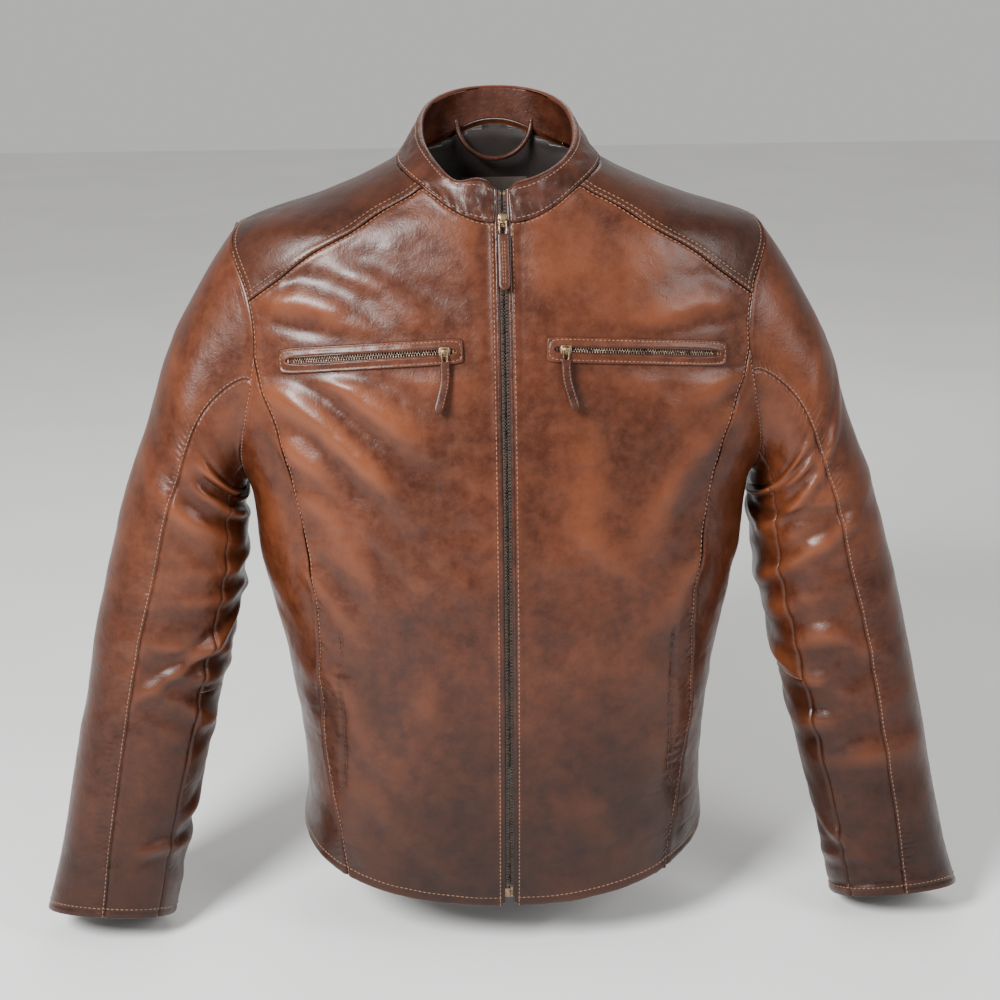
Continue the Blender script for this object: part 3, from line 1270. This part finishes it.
def zip_strips():
    """Narrow folded leather edge on each side of the chain, with a row of stitches behind it."""
    angles = np.linspace(arc_angle(ZIP_BOTTOM_Z - 6), arc_angle(ZIP_TOP_Z + 0.5), 420)
    around = np.linspace(0, 2 * math.pi, 15)
    a, t = np.meshgrid(angles, around, indexing="ij")
    for side, sign in (("left", 1.0), ("right", -1.0)):
        ripple = 0.16 * noise(np.stack([a * FRONT_RADIUS, t * 0, t * 0 + sign], -1), 9, 120)
        x = sign * (5.3 + ripple + 1.75 * np.cos(t))
        depth = 0.75 - 1.15 * np.sin(t) - 0.5 * ripple
        kit = Kit()
        kit.grid(on_arc(x, a, depth))
        kit.piece("zip_strip_" + side, COLLAR, slot=slot_of(COLLAR))


zip_strips()


def slider_kit(half, length, over, under):
    """Zip slider: crowned top plate with flared shoulders, back plate and flanges."""
    kit = Kit()
    kit.block((-half, over - 1.7, -length / 2), (half, over, length / 2), power=4)
    kit.block((-half * 0.66, over - 2.3, -length * 0.36), (half * 0.66, over - 1.2, length * 0.40), power=3)
    kit.block((-half, under, -length / 2), (half, under + 1.3, length / 2), power=4)
    for sign in (-1, 1):
        edge = sorted((sign * (half - 0.9), sign * half))
        kit.block((edge[0], over - 0.6, -length / 2 + 0.5), (edge[1], over + 1.0, length / 2 - 2), power=4)
    return kit


PIVOT_Y, PIVOT_Z = -3.6, -2.0


def oblong(width, length, y, z_top, count=28):
    """Points of an upright oblong loop hanging from z_top."""
    out = []
    for k in range(count):
        a = 2 * math.pi * k / count
        s, c = math.sin(a), math.cos(a)
        r = squareness(s, c, 3.4)
        out.append((width / 2 * s * r, y, z_top - length / 2 + length / 2 * c * r))
    return out


TAB_TIP, TAB_THICKNESS = 6.0, 3.0       # the first is the length of a tab's rounded end
MAIN_TAB_LENGTH, CHEST_TAB_LENGTH = 47.0, 42.0


def strap(points, width, thickness, row_offset):
    """Leather strip along a centre line lying in the local x-z plane, with two rows of stitches."""
    line, length = path(points)
    t = np.linspace(0, 1, 70)
    p = line(t)
    ahead = unit(np.gradient(p, axis=0))
    outward = np.array([0.0, -1.0, 0.0])
    up = unit(outward - ahead * (ahead @ outward)[:, None])
    side = np.cross(up, ahead)
    from_end = (1 - t) * length
    half = width / 2 * np.sqrt(np.clip(1 - (1 - np.clip(from_end / TAB_TIP, 0, 1))**2.6, 0.02, 1))
    around = np.linspace(0, 2 * math.pi, 29)
    s, c = np.sin(around), np.cos(around)
    r = squareness(s, c, 5)
    edge_soft = 1 - 0.12 * np.abs(c * r)**6
    body = (p[:, None] + side[:, None] * (half[:, None] * (c * r)[None])[..., None]
            + up[:, None] * (thickness / 2 * (s * r * edge_soft))[None, :, None])
    first, last = (np.repeat(end[None, None], len(around), 1) for end in (p[0], p[-1]))
    surface = np.concatenate([first, body, last], 0)
    inside = slice(8, 62)
    lifted = up[inside] * (thickness / 2 + 0.05)
    rows = [(p[inside] + side[inside] * sign * row_offset + lifted, up[inside]) for sign in (-1, 1)]
    return surface, rows


def pull(name, tab_node, link_node, place, body, pivot_y, pivot_z, lean, width, length, loop, row_offset):
    """Brass loop and bar with a stitched leather strap that hangs from it."""
    kit = Kit()
    kit.rod(oblong(loop[0], loop[1], pivot_y, pivot_z + 1.2), 0.75, closed=True)
    kit.block((-loop[0] / 2 - 0.6, pivot_y - 0.8, pivot_z - loop[1] - 0.4),
              (loop[0] / 2 + 0.6, pivot_y + 0.8, pivot_z - loop[1] + 1.6), power=4)
    kit.piece(name + "_link", BRASS, place, body, slot_of(BRASS), [link_node])
    top = pivot_z - loop[1] + 2.2
    points = [(0, pivot_y - 0.3, top), (lean[0], pivot_y - 0.7, top - length * 0.4),
              (lean[1], pivot_y - 1.6, top - length * 0.72), (lean[2], pivot_y - 2.8, top - length)]
    surface, rows = strap(points, width, TAB_THICKNESS, row_offset)
    kit = Kit()
    kit.grid(surface)
    kit.piece(name + "_tab", PULL, place, body, slot_of(PULL), [tab_node])
    laid = [(place(points), place(points + normals) - place(points)) for points, normals in rows]
    stitch_piece(name + "_tab_stitches", laid, body, pitch=3.0, length=2.2, radius=0.26)


EAR_X = 2.9
slider = slider_kit(4.1, 12.0, 0.2, 3.3)
slider.rod([(-EAR_X, PIVOT_Y, PIVOT_Z), (EAR_X, PIVOT_Y, PIVOT_Z)], 0.7)
for ear in (-EAR_X, EAR_X):
    slider.rod([(ear, -1.6, PIVOT_Z - 2), (ear, PIVOT_Y + 0.3, PIVOT_Z - 1.2), (ear, PIVOT_Y - 0.3, PIVOT_Z),
                (ear, PIVOT_Y + 0.4, PIVOT_Z + 1.6), (ear, -1.6, PIVOT_Z + 3)], 0.75)
slider.stand_in("main_slider", BRASS, at_front_arc(SLIDER_Z), "main_slider")
pull("main_pull", "main_pull_tab", "main_pull_link", at_front_arc(SLIDER_Z), "main_pull", PIVOT_Y, PIVOT_Z,
     (0.2, 0.3, 0.2), 9.6, MAIN_TAB_LENGTH, (6.0, 12.0), 1.0)


# ---- Chest pockets, in a frame that follows the chest: x along, y inwards, z up ----
def pocket_axes():
    ends = []
    for t in (0.0, 0.5, 1.0):
        x = POCKET_INNER[0] + (POCKET_OUTER[0] - POCKET_INNER[0]) * t
        z = POCKET_INNER[1] + (POCKET_OUTER[1] - POCKET_INNER[1]) * t
        ends.append(np.array([x, float(torso_y(x, z, False)), z]))
    inner, middle, outer = ends
    chord = outer - inner
    span = np.linalg.norm(chord)
    along = chord / span
    da, dz = 0.1, 0.5
    across = torso(27.0 + da, middle[2]) - torso(27.0 - da, middle[2])
    upward = torso(27.0, middle[2] + dz) - torso(27.0, middle[2] - dz)
    up = unit(-np.cross(along, unit(np.cross(across, upward))))
    outward = unit(-np.cross(up, along))
    sagitta = (middle - (inner + outer) / 2) @ outward
    radius = (span**2 / 4 + sagitta**2) / (2 * sagitta)
    return along, up, outward, middle, radius


ALONG, P_UP, P_OUTWARD, P_MID, POCKET_RADIUS = pocket_axes()
CHEST_REST = -(WELT_LENGTH - 14) / 2 + CHEST_SLIDER_INSET


def pocket_point(x, y, z, flip):
    """Point at x along the pocket, y inwards and z up, from the middle of the zip."""
    q = P_MID + x[..., None] * ALONG - y[..., None] * P_OUTWARD + z[..., None] * P_UP
    return mirrored(q, flip)


def pocket_place(distance, flip):
    """Placement of the pocket frame at a distance along the zip from its middle."""
    turn = distance / POCKET_RADIUS

    def place(p):
        x = p[:, 0]
        y = p[:, 1] - POCKET_RADIUS
        xr = np.cos(turn) * x - np.sin(turn) * y
        yr = POCKET_RADIUS + np.sin(turn) * x + np.cos(turn) * y
        return pocket_point(xr, yr, p[:, 2], flip)

    return place


def pocket_wrap(p, flip):
    """Bends points given as (distance along, depth inwards, height) round the pocket's arc."""
    turn = p[..., 0] / POCKET_RADIUS
    r = POCKET_RADIUS - p[..., 1]
    return pocket_point(np.sin(turn) * r, POCKET_RADIUS - np.cos(turn) * r, p[..., 2], flip)


def rounded_outline(half_x, half_z, radius, t):
    """Point on a rounded rectangle at fraction t of the way round."""
    a = 2 * math.pi * t
    power = 2 + 14 * (1 - min(1.0, radius / half_z))
    s, c = np.sin(a), np.cos(a)
    shape = squareness(s, c, power)
    return half_x * c * shape, half_z * s * shape


def chest_welt(side, flip):
    """Leather frame of a chest pocket: rows from its rim to its mouth, then piping along the mouth."""
    around = np.linspace(0, 1, 361)
    steps = np.array([0, 0.3, 0.7, 1.2, 1.8, 2.2, 2.6, 3.2, 4.2, 5.4, 6.4, 7.0, 7.5, 7.9])
    lifts = np.array([0.4, 1.2, 1.6, 1.75, 1.62, 1.35, 1.6, 1.8, 1.85, 2.05, 2.3, 2.1, 1.2, -0.8])
    t, s = np.meshgrid(around, np.arange(len(steps)), indexing="ij")
    share = steps[s] / steps[-1]
    slope = np.cos(2 * math.pi * t)
    bow = 0.9 * np.exp(-((slope - 0.55) / 0.3)**2) + 0.7 * np.exp(-((slope + 0.8) / 0.2)**2)
    rim_x, rim_z = rounded_outline(WELT_LENGTH / 2, WELT_HEIGHT / 2, 2.4, t)
    mouth_x, mouth_z = rounded_outline(WELT_LENGTH / 2 - 7.4, 2.5, 2.2, t)
    mouth_z = mouth_z * (1 + 0.3 * bow)
    x = rim_x + (mouth_x - rim_x) * share
    z = rim_z + (mouth_z - rim_z) * share
    p = np.stack([x, -lifts[s] - WELT_LIFT * (share > 0.02), z], -1)
    ripple = 0.22 * noise(np.stack([x, 0 * x, z], -1), (7, 7, 5), 96 + (5 if flip else 0))
    p[..., 1] -= ripple * (share > 0.1)
    world = pocket_wrap(p, flip)
    under = pocket_wrap(p + np.array([0, 1.2, 0]), flip)
    loop = np.concatenate([world, under[:, ::-1], world[:, :1]], 1)
    kit = Kit()
    kit.grid(loop)
    kit.stand_in("chest_welt_" + side, COGNAC)
    normal = np.array([mirrored(P_OUTWARD, flip)] * len(around))
    stitch_piece("chest_welt_stitches_" + side, [(world[:, 5], normal)], pitch=3.6, length=2.6)
    lips = Kit()
    for sign in (-1, 1):
        line = np.linspace(-WELT_LENGTH / 2 + 9, WELT_LENGTH / 2 - 9, 90)
        bowed = 2.7 + 0.5 * np.sin((line + 60) / 40)
        cord = np.stack([line, 0 * line - 1.4, sign * bowed], -1)
        lips.rod(pocket_wrap(cord, flip), 0.95)
    lips.piece("chest_piping_" + side, FACING)


def chest_zip(side, flip):
    run = WELT_LENGTH - 22
    pitch = 2.2
    teeth = Kit()
    for sign, shift in ((1, 0.0), (-1, 0.5)):
        verts, faces = tooth_mesh(sign, 0.0)
        laid = np.stack([-verts[:, 2] * 0.76, verts[:, 1] * 0.9 - 0.2, verts[:, 0]], -1)
        for i in range(int(run / pitch)):
            teeth.add(pocket_place(-run / 2 + (i + shift) * pitch, flip)(laid), faces)
    teeth.stand_in("chest_zip_teeth_" + side, TEETH)
    tape = Kit()
    lengthwise = np.linspace(-WELT_LENGTH / 2 + 5, WELT_LENGTH / 2 - 5, 120)
    x, z = np.meshgrid(lengthwise, np.linspace(-7.4, 7.4, 22), indexing="ij")
    flat = np.stack([x, 0.9 + 0.12 * np.sin(x * 3), z], -1)
    tape.grid(pocket_wrap(flat, flip))
    tape.grid(pocket_wrap(flat + np.array([0, 0.6, 0]), flip)[:, ::-1])
    tape.stand_in("chest_zip_tape_" + side, TAPE)


def chest_pull(side, flip):
    place = pocket_place(CHEST_REST, flip)
    kit = slider_kit(4.2, 9.5, -2.45, 2.0)
    kit.verts = [np.stack([-v[:, 2], v[:, 1], v[:, 0]], -1) for v in kit.verts]
    kit.rod([(0, -3.0, 0), (0, -6.2, 0)], 1.05)
    kit.block((-1.9, -6.9, -1.9), (1.9, -6.0, 1.9), power=2.4)
    kit.stand_in("chest_slider_" + side, BRASS, place, "chest_slider_" + side)
    lean = (1.0, 4.5, 8.5) if flip else (1.5, 5.5, 9.5)
    name = "chest_pull_" + side
    pull(name, "chest_pull_tab_" + side, "chest_pull_link_" + side, place, name,
         -5.4, 0.4, lean, 8.0, CHEST_TAB_LENGTH, (4.6, 11.0), 2.5)


for side, flip in SIDES:
    chest_welt(side, flip)
    chest_zip(side, flip)
    chest_pull(side, flip)


# ---- Hand pockets: a dashed seam on each front panel ----
def on_front(x, z, flip):
    """Points and normals on the finished front at (x, z) of the left side, mirrored if asked."""
    base = np.stack([x, torso_y(x, z, False), z], -1)
    d = 0.5
    across = np.stack([2 * d + 0 * x, torso_y(x + d, z, False) - torso_y(x - d, z, False), 0 * x], -1)
    upward = np.stack([0 * x, torso_y(x, z + d, False) - torso_y(x, z - d, False), 2 * d + 0 * x], -1)
    base, normal = mirrored(base, flip), mirrored(unit(np.cross(across, upward)), flip)
    return base + normal * (body_relief(base) + 0.1)[..., None], normal


# One row of dark stitches that turns out towards the princess seam at its foot.
HAND_POCKET = [(147, -406), (145, -450), (144, -500), (143, -536), (146, -554), (152, -564)]
for side, flip in SIDES:
    line = path(HAND_POCKET)[0](np.linspace(0, 1, 120))
    row = on_front(line[:, 0], line[:, 1], flip)
    stitch_piece("hand_pocket_stitches_" + side, [row], thread=DARK_THREAD, pitch=4.6, length=3.2)


# ---- Hanger loop and label ----
def loop_and_label():
    t = np.radians(np.linspace(179, 361, 48))
    points = np.stack([33.5 * np.cos(t), 55.5 + 6.5 * np.cos(t)**6, 14 + 33.5 * np.sin(t)], -1)
    kit = Kit()
    kit.rod(points, 2.3, around=12)
    kit.stand_in("hanger_loop", FACING)
    tilt = math.radians(16)
    x, z = np.meshgrid(np.linspace(-30, 30, 30), np.linspace(-14, 14, 16), indexing="ij")
    lift = 0.25 * np.sin(x / 9) + 0.2 * np.sin(z / 5)
    plate = np.stack([x, 76.8 - z * math.sin(tilt) + lift, -52 + z * math.cos(tilt)], -1)
    kit = Kit()
    kit.grid(plate[::-1])
    kit.grid(plate + np.array([0, 0.6, 0]))
    kit.stand_in("blank_label", LABEL)


loop_and_label()

# Small hardware keeps its CAD shape, with the metal finish.
for node in ("main_zip_retainer_box", "main_zip_insertion_pin", "main_zip_top_stops", "chest_zip_stops_left",
             "chest_zip_stops_right"):
    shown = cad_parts[node]
    shown.data.materials.clear()
    shown.data.materials.append(BRASS)


# ---- Stage: camera, floor and soft light ----
CAMERA_DISTANCE, CAMERA_HEIGHT = 1662.0, 196.0
CAMERA_ANGLES = (17.36, 2.46, -0.48)    # pitch down, yaw and roll in degrees
LENS, SENSOR = 68.33, 36.0
# Name, place, target, disc size and watts of each light, in metres.
LIGHTS = (
    ("key", (-1.2, -1.55, 0.95), (-0.06, 0, -0.24), 0.75, 120),
    ("fill", (1.7, -1.5, 0.9), (0.05, 0, -0.35), 1.1, 30),
    ("rim", (0.2, 1.7, 1.4), (0, 0, -0.2), 1.2, 10),
)
FLOOR_HALF, FLOOR_Z = 6, -0.72          # metres; the hem and cuffs hang just clear of the floor


def camera():
    pitch, yaw, roll = (math.radians(angle) for angle in CAMERA_ANGLES)
    sideways, back = CAMERA_DISTANCE * math.sin(yaw), CAMERA_DISTANCE * math.cos(yaw)
    place = Vector((-sideways, -back, CAMERA_HEIGHT)) * MM
    ahead = Vector((math.sin(yaw) * math.cos(pitch), math.cos(yaw) * math.cos(pitch), -math.sin(pitch)))
    right = ahead.cross(Vector((0, 0, 1))).normalized()
    up = right.cross(ahead)
    across = right * math.cos(roll) + up * math.sin(roll)
    upward = up * math.cos(roll) - right * math.sin(roll)
    data = bpy.data.cameras.new("camera")
    data.lens = LENS
    data.sensor_width = SENSOR
    seen = add_object("camera", data)
    rows = [(across[k], upward[k], -ahead[k], place[k]) for k in range(3)]
    seen.matrix_world = Matrix((*rows, (0, 0, 0, 1)))
    bpy.context.scene.camera = seen


def area_light(name, at, target, size, power):
    data = bpy.data.lights.new(name, "AREA")
    data.shape = "DISK"
    data.size = size
    data.energy = power
    lamp = add_object(name, data)
    lamp.location = at
    lamp.rotation_euler = (Vector(target) - Vector(at)).to_track_quat("-Z", "Y").to_euler()


def stage():
    data = bpy.data.meshes.new("floor")
    corners = [(i * FLOOR_HALF, j * FLOOR_HALF, FLOOR_Z) for i, j in ((-1, -1), (1, -1), (1, 1), (-1, 1))]
    data.from_pydata(corners, [], [(0, 1, 2, 3)])
    floor = add_object("floor", data)
    material, shader, node, to_shader, at = new_material("floor")
    speck = node("ShaderNodeTexNoise", {"Vector": at, "Scale": 3.0, "Detail": 2.0})
    greys = [(0.3, (0.78, 0.78, 0.77)), (0.7, (0.82, 0.82, 0.81))]
    to_shader("Base Color", ramp(node, speck.outputs["Fac"], greys))
    shader.inputs["Roughness"].default_value = 0.9
    data.materials.append(material)
    world = bpy.data.worlds.new("world")
    world.use_nodes = True
    sky = world.node_tree.nodes["Background"]
    sky.inputs["Color"].default_value = (1.0, 0.99, 0.97, 1)
    sky.inputs["Strength"].default_value = 0.58
    bpy.context.scene.world = world
    for light in LIGHTS:
        area_light(*light)


camera()
stage()
